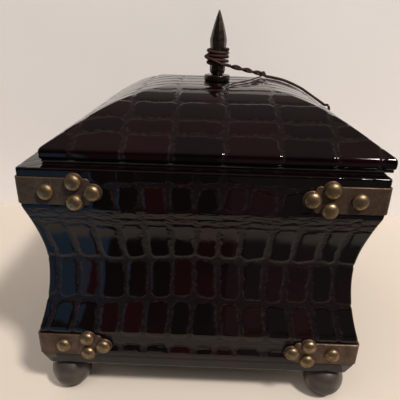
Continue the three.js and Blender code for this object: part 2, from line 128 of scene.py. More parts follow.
class LiningSizes(bpy.types.PropertyGroup):
    """Velvet lining and felt"""

    round: length("Rounding", 0.45, "Rounding of the covered edges")
    velvet: colour("Velvet colour", 0.085, 0.012, 0.018, "Colour of the velvet")
    felt: colour("Felt colour", 0.018, 0.016, 0.016, "Colour of the felt strips")


class StageSizes(bpy.types.PropertyGroup):
    """Camera, table, wall and lamps"""

    focal: number("Focal length", 36.45, "CAMERA", "Lens of the camera")
    table_front: length("Table front", 212, "Distance from the box's middle to the lit table's front edge")
    wall_back: length("Wall", 240, "Distance from the box's middle to the wall")
    key_power: number("Key lamp", 98.0, "POWER", "Power of the key lamp")
    fill_power: number("Soft lamp", 12.5, "POWER", "Power of the soft lamp")
    table: colour("Table colour", 0.70, 0.615, 0.53, "Colour of the table")
    wall: colour("Wall colour", 0.885, 0.845, 0.83, "Colour of the wall")
    card: colour("Card colour", 0.02, 0.018, 0.017, "Colour of the dark cards that only reflections show")
    side_card: colour("Side card colour", 0.085, 0.075, 0.08, "Colour of the grey card at the right")
    # painted shade: colours of two cards darker than the table, seen only in reflections, standing for shade on the
    # table at the box's foot and before it
    base_shade_card: colour("Base card colour", 0.34, 0.3, 0.27, "Colour of the card at the foot of the box")
    near_shade_card: colour("Near card colour", 0.58, 0.5, 0.435, "Colour of the card before the box")
    cool_card: colour("Cool card colour", 0.12, 0.265, 0.46, "Colour of the cool card at the left")


GROUPS = {
    "leather": LeatherSizes,
    "metal": MetalSizes,
    "cord": CordSizes,
    "lining": LiningSizes,
    "stage": StageSizes,
}


def sizes(group):
    return getattr(bpy.context.scene, f"trinket_{group}")


# ---- meshes


def put_mesh(name, points, faces, material, body, slot, stands_for=(), attributes=None, sharp=40.0):
    """A piece from points in millimetres and arrays of faces. The faces are turned to point outwards: the volume
    that they enclose is the sum of each one's triangle fan, and it has to come out positive."""
    points = np.asarray(points, float).reshape(-1, 3)
    volume = 0.0
    for block in faces:
        first = points[block[:, 0]]
        for i in range(1, block.shape[1] - 1):
            volume += (first * np.cross(points[block[:, i]], points[block[:, i + 1]])).sum() / 6
    if volume < 0:
        faces = [block[:, ::-1] for block in faces]
    mesh = bpy.data.meshes.new(name)
    mesh.vertices.add(len(points))
    mesh.vertices.foreach_set("co", (points * MM).astype(np.float32).ravel())
    corners = np.concatenate([block.ravel() for block in faces]).astype(np.int32)
    counts = np.concatenate([np.full(len(block), block.shape[1]) for block in faces])
    mesh.loops.add(len(corners))
    mesh.loops.foreach_set("vertex_index", corners)
    mesh.polygons.add(len(counts))
    mesh.polygons.foreach_set("loop_start", (np.cumsum(counts) - counts).astype(np.int32))
    mesh.update(calc_edges=True)
    mesh.validate()
    for key, values in (attributes or {}).items():
        mesh.attributes.new(key, "FLOAT", "POINT").data.foreach_set("value", values.astype(np.float32).ravel())
    mesh.shade_smooth()
    mesh.set_sharp_from_angle(angle=math.radians(sharp))
    mesh.materials.append(material)
    piece = bpy.data.objects.new(name, mesh)
    bpy.context.scene.collection.objects.link(piece)
    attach(piece, body)
    if stands_for:
        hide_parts(*stands_for)
    return piece


def grid_faces(rows, columns, start=0, wrap_rows=False, wrap_columns=False):
    """Four-cornered faces between neighbouring rows and columns of a grid of points."""
    i = np.arange(rows if wrap_rows else rows - 1)[:, None]
    j = np.arange(columns if wrap_columns else columns - 1)[None]
    below, beside = (i + 1) % rows, (j + 1) % columns
    corners = [i * columns + j, i * columns + beside, below * columns + beside, below * columns + j]
    return start + np.stack(np.broadcast_arrays(*corners), -1).reshape(-1, 4)


def capped_rings(rings):
    """Rings of points, each end closed by a fan to its middle, as points and faces."""
    count, around = rings.shape[:2]
    ring = np.arange(around)
    following = np.roll(ring, -1)
    first, last = count * around, (count - 1) * around
    low = np.stack([np.full(around, first), following, ring], -1)
    high = np.stack([np.full(around, first + 1), ring + last, following + last], -1)
    points = np.concatenate([rings.reshape(-1, 3), rings[[0, -1]].mean(1)])
    return points, [grid_faces(count, around, wrap_columns=True), low, high]


def joined(parts):
    """Several sets of points and faces as one."""
    faces, total = [], 0
    for part_points, part_faces in parts:
        faces += [block + total for block in part_faces]
        total += len(part_points)
    return np.concatenate([part_points for part_points, _ in parts]), faces


def spun(points, quarter):
    """The points turned by that many quarter turns about the Z axis."""
    turn = quarter * np.pi / 2
    matrix = np.array([[np.cos(turn), -np.sin(turn), 0], [np.sin(turn), np.cos(turn), 0], [0, 0, 1]])
    return points @ matrix.T


def turned(profile, around, ripple=None):
    """A profile of (radius, height) carried round the Z axis. ripple scales the radius by angle."""
    a = np.arange(around) / around * 2 * np.pi
    radius = profile[:, :1] * (np.ones(around) if ripple is None else ripple(a))
    return np.stack([radius * np.cos(a), radius * np.sin(a), np.broadcast_to(profile[:, 1:], radius.shape)], -1)


def arc_points(middle, radius, start, end, count):
    """Points of an arc about the middle, from one angle to another."""
    a = np.linspace(start, end, count)
    return np.stack([middle[0] + radius * np.cos(a), middle[1] + radius * np.sin(a)], -1)


def unit(vectors):
    return vectors / np.linalg.norm(vectors, axis=-1, keepdims=True)


def lengths(path):
    """How far along the path each of its points lies."""
    return np.concatenate([[0], np.cumsum(np.linalg.norm(np.diff(path, axis=0), axis=1))])


def at_lengths(path, places):
    """The path's points at those lengths along it."""
    along = lengths(path)
    return np.stack([np.interp(places, along, path[:, k]) for k in range(path.shape[1])], -1)


def resampled(path, step):
    """The path again with evenly spaced points about step apart."""
    whole = lengths(path)[-1]
    return at_lengths(path, np.linspace(0, whole, max(3, round(whole / step) + 1)))


def rounded(path, width, step):
    """The path with its corners softened by a running mean of that width, and its ends kept."""
    spacing = 0.1
    fine = resampled(path, spacing)
    reach = int(width / spacing / 2)
    before = fine[0] + (fine[0] - fine[1]) * np.arange(reach, 0, -1)[:, None]
    after = fine[-1] + (fine[-1] - fine[-2]) * np.arange(1, reach + 1)[:, None]
    padded = np.concatenate([before, fine, after])
    kernel = np.hanning(2 * reach + 3)[1:-1]
    kernel /= kernel.sum()
    soft = np.stack([np.convolve(padded[:, k], kernel, "valid") for k in range(path.shape[1])], -1)
    return resampled(soft, step)


def stepped(path, step_at):
    """The path again with points spaced by step_at(place along)."""
    along = lengths(path)
    steps = np.concatenate([[0], np.cumsum(np.diff(along) / step_at((along[1:] + along[:-1]) / 2))])
    return at_lengths(path, np.interp(np.linspace(0, steps[-1], round(steps[-1]) + 1), steps, along))


def curve_through(points, step):
    """A smooth curve through the points (centripetal Catmull-Rom), with evenly spaced points."""
    p = np.asarray(points, float)
    p = np.concatenate([[2 * p[0] - p[1]], p, [2 * p[-1] - p[-2]]])
    pieces = []
    t = np.linspace(0, 1, 16, endpoint=False)[:, None]
    for a, b, c, d in zip(p, p[1:], p[2:], p[3:]):
        gaps = [max(np.linalg.norm(y - x), 1e-6) ** 0.5 for x, y in ((a, b), (b, c), (c, d))]
        m1 = ((b - a) / gaps[0] - (c - a) / (gaps[0] + gaps[1]) + (c - b) / gaps[1]) * gaps[1]
        m2 = ((c - b) / gaps[1] - (d - b) / (gaps[1] + gaps[2]) + (d - c) / gaps[2]) * gaps[1]
        ends = (2 * t**3 - 3 * t**2 + 1) * b + (3 * t**2 - 2 * t**3) * c
        pieces.append(ends + (t**3 - 2 * t**2 + t) * m1 + (t**3 - t**2) * m2)
    return resampled(np.concatenate([*pieces, p[-2:-1]]), step)


def noise(x, y, seed):
    """Smooth value noise from -1 to 1 on a unit lattice: each point blends its four lattice corners' random values."""
    table = np.random.default_rng(seed).uniform(-1, 1, (257, 257))
    i, j = np.floor(x).astype(int), np.floor(y).astype(int)
    u, v = x - i, y - j
    u, v = u * u * (3 - 2 * u), v * v * (3 - 2 * v)
    i, j = i % 256, j % 256
    low = table[i, j] * (1 - u) + table[i + 1, j] * u
    high = table[i, j + 1] * (1 - u) + table[i + 1, j + 1] * u
    return low * (1 - v) + high * v


# ---- materials


def shaded(tone, factor):
    return tuple(min(1.0, part * factor) for part in tone)


class Nodes:
    """Short ways to add nodes to a tree. Each input is a value, or the socket that feeds it."""

    def __init__(self, tree):
        self.tree = tree

    def feed(self, fed, inputs):
        for key, value in dict(inputs).items():
            if isinstance(value, bpy.types.NodeSocket):
                self.tree.links.new(value, fed.inputs[key])
            else:
                fed.inputs[key].default_value = value

    def add(self, kind, inputs=(), output=0, **settings):
        """The output of a new node with those settings and inputs."""
        made = self.tree.nodes.new("ShaderNode" + kind)
        for key, value in settings.items():
            setattr(made, key, value)
        self.feed(made, inputs)
        return made.outputs[output]

    def mixed(self, factor, low, high):
        """Colour between low and high by factor."""
        low, high = (c if isinstance(c, bpy.types.NodeSocket) else (*c, 1.0) for c in (low, high))
        return self.add("Mix", {0: factor, 6: low, 7: high}, 2, data_type="RGBA")

    def ranged(self, value, low, high, new_low=0.0, new_high=1.0):
        return self.add(
            "MapRange", {"Value": value, "From Min": low, "From Max": high, "To Min": new_low, "To Max": new_high}
        )

    def plus(self, a, b):
        return self.add("Math", {0: a, 1: b}, operation="ADD")

    def times(self, a, b, **settings):
        return self.add("Math", {0: a, 1: b}, operation="MULTIPLY", **settings)

    def attribute(self, name):
        return self.add("Attribute", output="Fac", attribute_name=name)

    def grain(self, scale, detail, roughness=0.55, stretch=None):
        """Noise over the object's own place, at that many to the metre, stretched if asked."""
        place = self.add("TexCoord", output="Object")
        if stretch:
            place = self.add("Mapping", {"Vector": place, "Scale": stretch})
        return self.add("TexNoise", {"Vector": place, "Scale": scale, "Detail": detail, "Roughness": roughness}, "Fac")


class Finish(Nodes):
    """A Principled material in the making."""

    def __init__(self, name):
        self.material = bpy.data.materials.new(name)
        self.material.use_nodes = True
        super().__init__(self.material.node_tree)
        self.shader = self.tree.nodes["Principled BSDF"]

    def made(self, inputs, height, strength, distance):
        """The material, with those inputs of its shader and that height as its bump."""
        bump = self.add("Bump", {"Height": height, "Strength": strength, "Distance": distance})
        self.feed(self.shader, {**inputs, "Normal": bump})
        return self.material


def leather_material():
    """Glossy embossed leather: near-black cells, some of them wine red or olive, paler crinkled grooves with a painted
    highlight (glints) in places along their edges, and fine pores over all."""
    look = sizes("leather")
    m = Finish("embossed_leather")
    groove, glinting, tone = (m.attribute(name) for name in ("groove", "glinting", "tone"))
    patch = m.plus(tone, m.ranged(m.grain(30.0, 3.0), 0.3, 0.7, -0.16, 0.16))
    cell = m.mixed(m.ranged(patch, 0.25, 0.5), look.olive, look.cell)
    cell = m.mixed(m.ranged(patch, 0.6, 0.95), cell, look.wine)
    crinkle = m.grain(850.0, 4.0, 0.6)
    tint = m.mixed(m.ranged(crinkle, 0.38, 0.62), shaded(look.groove, 0.65), look.groove)
    skin = m.mixed(m.ranged(groove, 0.15, 0.8), cell, tint)
    # painted highlight: the edge colour is laid as glints along the grooves' edges, broken up by noise
    painted_glint = m.times(glinting, m.ranged(m.grain(330.0, 3.0, 0.6), 0.42, 0.7), use_clamp=True)
    haze = m.ranged(m.grain(140.0, 5.0, 0.7), 0.3, 0.7, 0.035, 0.075)
    pores = m.ranged(m.grain(1700.0, 2.0), 0, 1, 0, 0.02)
    inputs = {
        "Base Color": m.mixed(painted_glint, skin, look.edge),
        "Roughness": m.plus(haze, m.ranged(groove, 0.2, 0.9, 0.0, 0.15)),
        "Specular IOR Level": 0.38,
    }
    return m.made(inputs, m.plus(m.times(crinkle, m.ranged(groove, 0.15, 0.6)), pores), 0.3, 0.0009)


def metal_material(name, tone, roughness, mottle, patina, metallic, pitted=0.3):
    """Aged metal: its colour is broken by darker patina in clouds and specks, rougher where it is darker."""
    m = Finish(name)
    speck = m.ranged(m.grain(mottle * 9, 3.0, 0.6), 0.2, 0.8, -0.12, 0.12)
    both = m.plus(m.grain(mottle, 6.0, 0.65), speck)
    amount = m.ranged(both, 0.36, 0.66)
    inputs = {
        "Base Color": m.mixed(amount, shaded(tone, patina), tone),
        "Roughness": m.ranged(amount, 0.0, 1.0, roughness * 1.5, roughness),
        "Metallic": metallic,
    }
    return m.made(inputs, both, pitted, 0.0004)


def lacquer_material(name, tone):
    """Dark lacquer over a turned ball, with faint clouds and fine brush rings."""
    m = Finish(name)
    cloud = m.grain(60.0, 5.0, 0.6)
    inputs = {
        "Base Color": m.mixed(m.ranged(cloud, 0.3, 0.7), shaded(tone, 0.65), shaded(tone, 1.25)),
        "Roughness": m.ranged(cloud, 0.3, 0.7, 0.46, 0.36),
        "Metallic": 0.35,
        "Coat Weight": 0.3,
        "Coat Roughness": 0.25,
    }
    return m.made(inputs, m.grain(300.0, 3.0, 0.5, (0.2, 0.2, 3.0)), 0.12, 0.0004)


def fibre_material(name, dark, light, scale, sheen):
    """Cloth: painted shade between its fibres and painted light on their tops, in fine specks."""
    m = Finish(name)
    fine = m.grain(scale, 4.0, 0.65)
    both = m.times(fine, m.grain(scale / 14, 3.0))
    inputs = {
        "Base Color": m.mixed(m.ranged(both, 0.12, 0.4), dark, light),
        "Roughness": 0.85,
        "Sheen Weight": sheen,
        "Sheen Roughness": 0.4,
        "Specular IOR Level": 0.3,
    }
    return m.made(inputs, fine, 0.55, 0.0006)


def strand_material():
    """Twisted cord: the crown attribute says how far out on its strand each place lies, and the colour darkens towards
    the hollows between the strands as painted shade.
    """
    look = sizes("cord")
    m = Finish("twisted_cord")
    fine = m.grain(1400.0, 4.0, 0.7)
    inputs = {
        # painted shade in the strands' hollows, by the crown attribute, with the cord's own colour on their crowns
        "Base Color": m.mixed(m.ranged(m.times(m.attribute("crown"), fine), 0.1, 0.6), look.dark, look.light),
        "Roughness": 0.65,
        "Sheen Weight": 0.05,
        "Sheen Roughness": 0.4,
        "Specular IOR Level": 0.3,
    }
    return m.made(inputs, fine, 0.5, 0.0005)


def wood_material(name, dark, light):
    """Board: long grain with darker streaks."""
    m = Finish(name)
    streak = m.grain(120.0, 5.0, 0.6, (0.12, 1.0, 1.0))
    tone = m.mixed(m.ranged(streak, 0.3, 0.7), dark, light)
    return m.made({"Base Color": tone, "Roughness": 0.75}, streak, 0.3, 0.0005)


# ---- shapes of the leather, in millimetres

RIM_HALF, BASE_HALF = 115.0, 116.0
RIM_BAND, BASE_BAND, WAIST_IN, WAIST_BEND, NARROWEST = 26.4, 22.5, 8.7, 27.5, 0.445
UNDERSIDE, BAND_BOTTOM, BEVEL = 29.0, 40.0, 3.5
LID_HALF, LID_LIFT, LID_EDGE, LID_TOP = 112.3, 2.0, 9.0, 40.2
LID_BEND_START, LID_BEND_MIDDLE, LID_BEND_END = 0.285, 0.5574, 0.837
LID_ROWS = (9.0, 26.4, 47.0, 66.9, 85.0, 97.0)
LID_COLUMNS = (-126.0, -91.5, -60.0, -28.5, 5.0, 40.5, 75.5, 104.0, 135.0)
BODY_ROWS = (9.0, 26.5, 32.5, 37.5, 66.5, 98.6, 131.0)
WIDE_ROWS = (0.0, -0.9, -1.0, -0.8, -0.1, 0.6, 2.3)
WRINKLES = (25.0, 27.6, 29.5, 31.2, 33.4, 35.2, 37.2)
COLUMN_COUNT, COLUMN_REACH = 13, 106.2
FRONT_COLUMNS = {
    4: (-108.5, -91.6, -73.9, -56.1, -39.1, -20.8, -3.8, 13.1, 28.6, 48.8, 66.9, 85.7, 100.4),
    5: (-107.0, -91.0, -76.1, -55.5, -37.9, -20.9, -4.7, 13.5, 31.1, 47.9, 63.9, 82.1, 99.5),
    6: (-109.0, -91.5, -74.0, -57.3, -40.0, -21.9, -5.4, 14.8, 30.5, 48.5, 67.1, 83.5, 100.6),
}


def quadratic(a, b, c):
    """Points of a curve that leaves a towards b and reaches c from b."""
    t = np.linspace(0, 1, 40)[:, None]
    a, b, c = (np.array(p, float) for p in (a, b, c))
    return (1 - t) ** 2 * a + 2 * t * (1 - t) * b + t**2 * c


def body_outline():
    """Outer face of the body's leather as (out, height): from the rim's inner edge over the rim, down the band,
    round the waist in two quadratic curves that meet at the narrowest place, down the base band, which stands back
    a little below its top edge, and under the base."""
    waist = RIM_HALF - WAIST_IN
    top, bottom = RIM - RIM_BAND, BAND_BOTTOM + BASE_BAND
    narrow = top + NARROWEST * (bottom - top)
    upper = quadratic((RIM_HALF, top), (waist, top - WAIST_BEND), (waist, narrow))
    lower = quadratic((waist, narrow), (waist, bottom + WAIST_BEND), (BASE_HALF, bottom))
    start = [(100.3, RIM), (RIM_HALF, RIM)]
    ledge = [(BASE_HALF + out, BAND_BOTTOM + up) for out, up in ((-0.4, 21.5), (-0.4, 10.8), (0.6, 4.8), (0.0, 0.0))]
    end = [(BASE_HALF - BEVEL, UNDERSIDE), (BASE_HALF - BEVEL - 1.5, UNDERSIDE)]
    return np.concatenate([start, upper, lower[1:-1], ledge, end])


def lid_outline():
    """Outer face of the lid's leather as (out, height above the rim): flat crown, quadratic bend, straight slope,
    upright edge and the lap under it."""
    fall = (LID_BEND_END - LID_BEND_MIDDLE) / (1 - LID_BEND_MIDDLE)
    heights = (LID_TOP, LID_TOP, LID_TOP + fall * (LID_EDGE - LID_TOP))
    bend = quadratic(*zip((share * LID_HALF for share in (LID_BEND_START, LID_BEND_MIDDLE, LID_BEND_END)), heights))
    return np.concatenate([[(5.0, LID_TOP)], bend, [(LID_HALF, LID_EDGE), (LID_HALF, LID_LIFT), (92.0, LID_LIFT)]])


def cells(p, s, rows, columns, seed, wander, row_scale, wide=None, narrow=1.0):
    """Embossed cells on a surface with coordinates p across and s down. rows are the grooves in s, and columns[i]
    the grooves in p between rows i - 1 and i; wide is how much wider each row's groove is, either way, and narrow
    scales all the grooves' widths. Returns how deep the surface lies below the cells' tops, how much of a groove g
    each place is, the band 4 g (1 - g) along its edges where the painted highlight (glints) goes, and each cell's own
    random number. Distances a and b to the nearest column and row combine as to a rounded rectangle:
    d = R - hypot(max(R - a, 0), max(R - b, 0)). A groove is g = 1 / (1 + exp((d - w) / e)) for its half width w
    and edge e, and each cell's shoulder falls off as an exponential of d - w. Noise makes the lines wander and
    their width vary."""
    look = sizes("leather")
    radius, width = look.cell_corner / MM, look.groove_width / MM * narrow
    rng = np.random.default_rng(seed)
    drift = noise(p / 31.0 + 3.1, s / 90.0, seed) * 1.4 + noise(p / 10.5 + 9.0, s / 60.0 + 7.7, seed + 1) * 1.1
    line = s + drift * wander[1]
    row = np.searchsorted(rows, line)
    edges = np.concatenate([[rows[0] - 60.0], rows, [rows[-1] + 60.0]])
    spare = np.concatenate([[0.0], np.zeros(len(rows)) if wide is None else wide, [0.0]])
    b = np.maximum(np.minimum(line - edges[row] - spare[row], edges[row + 1] - line - spare[row + 1]), 0) * row_scale
    a, tone, tilt = np.full(p.shape, radius), np.zeros(p.shape), np.zeros(p.shape)
    for i in range(len(rows) + 1):
        chosen = row == i
        grooves = np.asarray(columns[i])
        sway = noise(s / 17.0 + i * 5.3, p / 60.0, seed + 2 + i) + 0.5 * noise(s / 6.0, p / 20.0, seed + 90 + i)
        across = (p + sway * wander[0])[chosen]
        k = np.searchsorted(grooves, across)
        ends = np.concatenate([[grooves[0] - 18.0], grooves, [grooves[-1] + 18.0]])
        a[chosen] = np.minimum(across - ends[k], ends[k + 1] - across)
        own = rng.random((len(grooves) + 1, 3))
        tone[chosen] = own[k, 0]
        sideways = across - (ends[k] + ends[k + 1]) / 2
        downwards = line[chosen] - (edges[i] + edges[i + 1]) / 2
        tilt[chosen] = (own[k, 1] - 0.5) * 0.024 * sideways + (own[k, 2] - 0.5) * 0.016 * downwards
    ragged = 0.5 * noise(p / 5.0, s / 5.0, seed + 40) + 0.34 * noise(p / 1.9, s / 2.2, seed + 41)
    radius = radius * (1 + 0.35 * noise(p / 23.0 + 80, s / 23.0, seed + 43))
    d = radius - np.hypot(np.maximum(radius - a, 0), np.maximum(radius - b, 0)) + ragged
    width = width * (1 + 0.5 * noise(p / 13.0 + 50, s / 13.0, seed + 42))
    groove = 1 / (1 + np.exp(np.clip((d - width) * MM / look.groove_edge, -30, 30)))
    d = np.maximum(d - width, 0)
    crinkle = noise(p / 1.6, s / 2.1, seed + 50) * 0.5 + noise(p / 3.3, s / 1.7, seed + 51) * 0.5
    inside = 1 - np.exp(-((d / 2.2) ** 2))
    depth = look.groove_depth / MM * groove * (1 - 0.28 * crinkle) + look.shoulder / MM * np.exp(-d / 1.6)
    depth = depth + np.clip(tilt, -0.1, 0.1) * inside + 0.012 * noise(p / 6.0, s / 8.0, seed + 60) * inside
    return depth + 0.06, groove, 4 * groove * (1 - groove), tone


def gore(prefix, quarter, path, pattern, corner, body, place):
    """One side of a square covering: the path carried across from one diagonal to the other, its corner rounded
    by an arc, pressed in along its own normal by pattern(across, out, along, quarter), and closed behind by a plain
    inner face."""
    look = sizes("leather")
    material = bpy.data.materials.get("embossed_leather") or leather_material()
    along = lengths(path)
    slope = unit(np.gradient(path, axis=0))
    normal = np.stack([-slope[:, 1], slope[:, 0]], -1)  # to the left of the path, outwards
    out, up = path.T[:, :, None]
    arc = np.linspace(0, np.pi / 4, 6)
    flat = np.linspace(-1, 1, int(2 * path[:, 0].max() / (look.mesh_step / MM)) + 1)
    radius = np.minimum(corner, out * 0.5)
    straight = out - radius
    rounding = straight + radius * np.sin(arc[1:])
    across = np.concatenate([-rounding[:, ::-1], straight * flat, rounding], 1)
    falling = radius * (1 - np.cos(arc[1:]))
    drop = np.concatenate([falling[:, ::-1], np.zeros((1, len(flat))) * out, falling], 1)
    turn = np.concatenate([-arc[:0:-1], np.zeros(len(flat)), arc[1:]])[None]
    depth, *shown = pattern(across, out, along[:, None] + 0 * across, quarter)
    depth = depth * np.clip(np.minimum(along, along[-1] - along) / 1.5, 0, 1)[:, None]
    push_out, push_up = -normal.T[:, :, None] * depth
    x = across + push_out * np.sin(turn)
    y = -(out - drop + push_out * np.cos(turn))
    x[:, 0], x[:, -1] = y[:, 0], -y[:, -1]  # neighbours meet on the diagonal
    surface = np.stack([x, y, up + push_up], -1)
    rows, columns = surface.shape[:2]
    inner = path - normal * (look.thickness / MM)
    left = np.stack([-inner[:, 0], -inner[:, 0], inner[:, 1]], -1)
    points = np.concatenate([surface.reshape(-1, 3), left, left * (-1, 1, 1)])
    low, high = rows * columns, rows * columns + rows
    i = np.arange(rows - 1)
    back = np.stack([high + i, high + i + 1, low + i + 1, low + i], -1)
    side_a = np.stack([i * columns, (i + 1) * columns, low + i + 1, low + i], -1)
    side_b = np.stack([(i + 1) * columns + columns - 1, i * columns + columns - 1, high + i, high + i + 1], -1)
    top = np.concatenate([[low], [high], np.arange(columns)[::-1]])[None]
    bottom = np.concatenate([[high + rows - 1], [low + rows - 1], (rows - 1) * columns + np.arange(columns)])[None]
    faces = [grid_faces(rows, columns)[:, ::-1], back, side_a, side_b, top, bottom]
    hidden = np.zeros(2 * rows)
    attributes = {key: np.concatenate([each.ravel(), hidden]) for key, each in zip(("groove", "glinting", "tone"), shown)}
    points = spun(points, quarter) + place
    put_mesh(f"{prefix}_hide", points, faces, material, body, "leather", [f"{prefix}_leather"], attributes, 50.0)


# ---- operators


class TRINKET_OT_camera(bpy.types.Operator):
    """Place the camera in front of the box, looking down on it"""

    bl_idname = "trinket.camera"
    bl_label = "Camera"
    place = (2.2 * MM, -346.4 * MM, 268.5 * MM)
    turns = ((0.85, "Z"), (90 - 23.2, "X"), (1.57, "Z"))  # degrees: to the left, up from straight down, and roll

    def execute(self, context):
        data = bpy.data.cameras.new("camera")
        data.lens, data.sensor_width = sizes("stage").focal, 36.0
        camera = bpy.data.objects.new("camera", data)
        context.scene.collection.objects.link(camera)
        yaw, pitch, roll = (Matrix.Rotation(math.radians(angle), 4, axis) for angle, axis in self.turns)
        camera.matrix_world = Matrix.Translation(self.place) @ yaw @ pitch @ roll
        context.scene.camera = camera
        return {"FINISHED"}


SPIKE_BOTTOM, SPIKE_HALF = 45.0, 12.9 / 2
WRAP_TURNS, WRAP_PITCH, WRAP_LOW, WRAP_LEAD = 4, 3.0, 8.5, 8.1
WRAP_RADIUS = SPIKE_HALF + 0.35 + 1.2
FATTER = 0.25  # what the plump strands add to the cord's thickness
KNOT_PLACE, KNOT_SIZE = np.array([42.0, 35.0, 43.0]), np.array([7.4, 5.6, 5.0])
END_KNOT_SIZE = np.array([5.0, 5.0, 6.4])
RUN_ROUTE = (
    (44.7, 36.6, 41.7), (46.2, 37.4, 40.8), (51, 39, 40), (57, 43, 38.6), (63, 47, 37), (69, 51, 34.9),
    (75, 56, 32.4), (81, 61, 29.6), (87, 66, 26.6), (93, 70, 23), (99, 72, 19.3), (104, 70, 16.2), (108, 66, 13.7),
    (110.6, 62.9, 12.1), (113.2, 61, 12.2), (114.7, 60.2, 9.2), (114.8, 59.7, 4), (114.6, 59.4, -4),
    (114.5, 59.2, -13), (114.5, 59.2, -22), (114.5, 59.2, -31), (114.5, 59.2, -38),
)
TAIL_ROUTE = (
    (40.7, 33.0, 41.7), (39.6, 31.2, 40.9), (37, 25, 41), (34, 15, 41.1), (30, 5, 41.2), (26, -3.5, 41.2),
    (21, -11.5, 41.2), (16.5, -19, 41.2), (12.5, -26.5, 41.2), (9.4, -34, 41.1), (7.4, -41, 40.7),
)


def on_lid(points):
    """Places from the lid's axis and the rim's top, as places of the whole object."""
    return np.asarray(points, float) + LID_PLACE


def helix(radius, angle, rise):
    """Places round the lid's axis, by how far they are above the winding's lowest turn."""
    return np.stack([radius * np.cos(angle), radius * np.sin(angle), SPIKE_BOTTOM + WRAP_LOW + rise], -1)


def strand(path, width, lay, strands=3, groove=0.3, around=18, toward=(-0.6, 0.3, 0.75), taper=True):
    """A twisted strand round a path: at turn f and length s its radius is half the width times
    1 - groove (1 - |cos(n/2 (f - 2 pi s / lay))|), for n strands. Returns rings and how far out each point lies."""
    along = lengths(path)
    ahead = unit(np.gradient(path, axis=0))
    side = unit(np.cross(ahead, np.array(toward, float)))
    over = np.cross(side, ahead)
    turn = np.arange(around) / around * 2 * np.pi
    crown = np.abs(np.cos(strands / 2 * (turn[None] - along[:, None] * 2 * np.pi / lay)))
    radius = width / 2 * (1 - groove * (1 - crown) ** 1.3)
    if taper:
        end = np.minimum(along, along[-1] - along) / (width / 2)
        radius = radius * np.sqrt(np.clip(1 - (1 - np.clip(end, 0, 1)) ** 2, 0.03, 1))[:, None]
    spokes = np.cos(turn)[None, :, None] * side[:, None] + np.sin(turn)[None, :, None] * over[:, None]
    return path[:, None] + radius[..., None] * spokes, crown


def put_strands(name, strands, material, node):
    """One piece of several twisted strands, in place of the node."""
    crowns = []
    for _, crown in strands:
        crowns += [crown.ravel(), [crown[0].mean(), crown[-1].mean()]]
    points, faces = joined([capped_rings(rings) for rings, _ in strands])
    return put_mesh(name, points, faces, material, "lid", "cord", [node], {"crown": np.concatenate(crowns)}, 60.0)


def put_knot(name, size, width, place, material, node):
    """A simple overhand knot, closed on itself: x = sin t + 2 sin 2t, y = cos t - 2 cos 2t, z = -sin 3t, scaled."""
    t = np.linspace(0, 2 * np.pi, 120)
    shape = np.stack([(np.sin(t) + 2 * np.sin(2 * t)) / 3, (np.cos(t) - 2 * np.cos(2 * t)) / 3, -np.sin(3 * t)], -1)
    path = shape * (size - width) / 2 + place
    return put_strands(name, [strand(path, width, 4.0, toward=(0.1, 0.2, 1.0), taper=False)], material, node)


class TRINKET_OT_cord(bpy.types.Operator):
    """Wind the cord round the finial, twist and knot its ends, and lay them over the lid"""

    bl_idname = "trinket.cord"
    bl_label = "Cord"

    def execute(self, context):
        look = sizes("cord")
        material = strand_material()
        width, lay = look.width / MM, look.lay / MM
        exit_angle = math.atan2(KNOT_PLACE[1], KNOT_PLACE[0]) - math.acos(WRAP_RADIUS / np.hypot(*KNOT_PLACE[:2]))
        left = np.linspace(WRAP_TURNS, 0, WRAP_TURNS * 90 + 1)
        angle = exit_angle - left * 2 * np.pi
        uneven = 0.3 * np.sin(1.37 * angle + 1) * np.clip(left / 0.3, 0, 1)
        turns = helix(WRAP_RADIUS, angle, left * WRAP_PITCH + uneven)
        towards = unit(KNOT_PLACE - turns[-1])
        ends = turns[0] + unit(turns[0] - turns[1]) * width, turns[-1] + towards * WRAP_LEAD
        winding = on_lid(resampled(np.concatenate([ends[:1], turns, ends[1:]]), 0.55))
        cross = np.linspace(0, 1, 100)
        angle = exit_angle - 0.5 - 3.9 * cross
        away = WRAP_RADIUS + 2.0 * np.sin(np.pi * np.clip(cross, 0.1, 0.9)) ** 0.3
        loose = resampled(on_lid(helix(away, angle, 0.8 + 10.2 * cross + 0.8 * np.sin(angle * 2.1))), 0.55)
        upright = (0.05, 0.08, 1.0)
        wraps = [strand(winding, width + FATTER, lay, toward=upright), strand(loose, width, lay, toward=upright)]
        piece = put_strands("finial_cord_winding", wraps, material, "cord_winding")

        pair_start = turns[-1] + towards * (WRAP_LEAD + 0.3)
        pair_end = KNOT_PLACE - towards * (KNOT_SIZE[0] / 2 + 0.3)
        middle = on_lid(resampled(np.stack([pair_start, pair_end]), 0.5))
        side = unit(np.cross(towards, (0, 0, 1.0)))
        over = np.cross(side, towards)
        ply = look.pair_width / MM / 2
        plies = []
        for phase in (0.0, np.pi):
            turn = lengths(middle) * 2 * np.pi / (look.pair_lay / MM) + phase
            offset = (np.cos(turn)[:, None] * side + np.sin(turn)[:, None] * over) * ply / 2
            plies.append(strand(middle + offset, ply, lay * 0.8))
        pair = put_strands("finial_cord_pair", plies, material, "cord_twisted_pair")
        knot = put_knot("finial_cord_knot", KNOT_SIZE, 1.9, on_lid(KNOT_PLACE), material, "cord_knot")

        run = on_lid(curve_through(RUN_ROUTE, 0.6))
        piece = put_strands("finial_cord_long_end", [strand(run, width + FATTER, lay)], material, "cord_long_end")
        end_place = on_lid(RUN_ROUTE[-1]) - (0, 0, END_KNOT_SIZE[2] / 2 + 0.3)
        knot = put_knot("finial_cord_end_knot", END_KNOT_SIZE, 1.7, end_place, material, "cord_end_knot")

        tail = on_lid(curve_through(TAIL_ROUTE, 0.5))
        fine = strand(tail, look.short_width / MM, 3.0, strands=2, groove=0.35, around=12)
        piece = put_strands("finial_cord_short_end", [fine], material, "cord_short_end")
        return {"FINISHED"}


